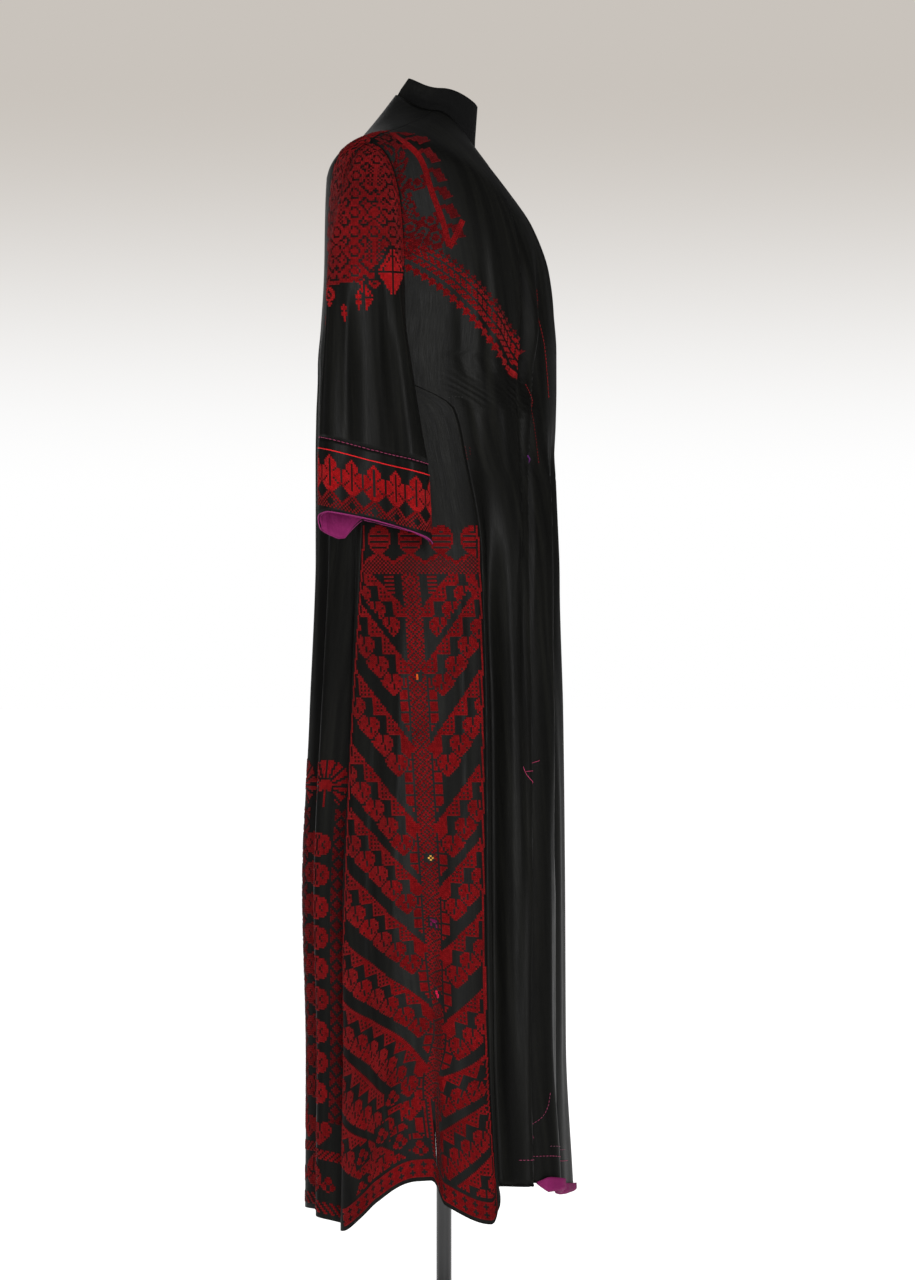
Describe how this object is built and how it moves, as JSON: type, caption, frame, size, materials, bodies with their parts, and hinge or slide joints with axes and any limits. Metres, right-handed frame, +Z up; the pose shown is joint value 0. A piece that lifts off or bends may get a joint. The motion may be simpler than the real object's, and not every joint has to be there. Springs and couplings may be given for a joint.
{
  "type": "embroidered thobe dress on a limbless dress form with a stand",
  "caption": "Long straight black dress with gored sides, hanging sleeves and a front slit, worn by a limbless dress form on a round-based stand.",
  "frame": {"origin": "centre of the stand base's underside, on the floor", "axes": "+Z up, the wearer faces -Y, +X is the wearer's left"},
  "size_m": [0.5328, 0.3329, 1.571],
  "materials": {
    "front": "black satin with red cross-stitch",
    "back": "black satin with red cross-stitch",
    "side_panel_right": "black satin with red cross-stitch",
    "side_panel_left": "black satin with red cross-stitch",
    "sleeve_right": "black satin with red cross-stitch",
    "sleeve_left": "black satin with red cross-stitch",
    "cuff_right": "black satin with red cross-stitch",
    "cuff_left": "black satin with red cross-stitch",
    "cuff_facing_right": "magenta cotton",
    "cuff_facing_left": "magenta cotton",
    "hem_facing": "magenta cotton",
    "dress_form": "black jersey over a hard form",
    "stand_pole": "black, satin",
    "stand_base": "black, satin"
  },
  "bodies": {
    "root": {"front": "front", "back": "back", "side_panel_right": "side_panel_right", "side_panel_left": "side_panel_left", "sleeve_right": "sleeve_right", "sleeve_left": "sleeve_left", "cuff_right": "cuff_right", "cuff_left": "cuff_left", "cuff_facing_right": "cuff_facing_right", "cuff_facing_left": "cuff_facing_left", "hem_facing": "hem_facing", "dress_form": "dress_form", "stand_pole": "stand_pole", "stand_base": "stand_base"}
  },
  "joints": []
}
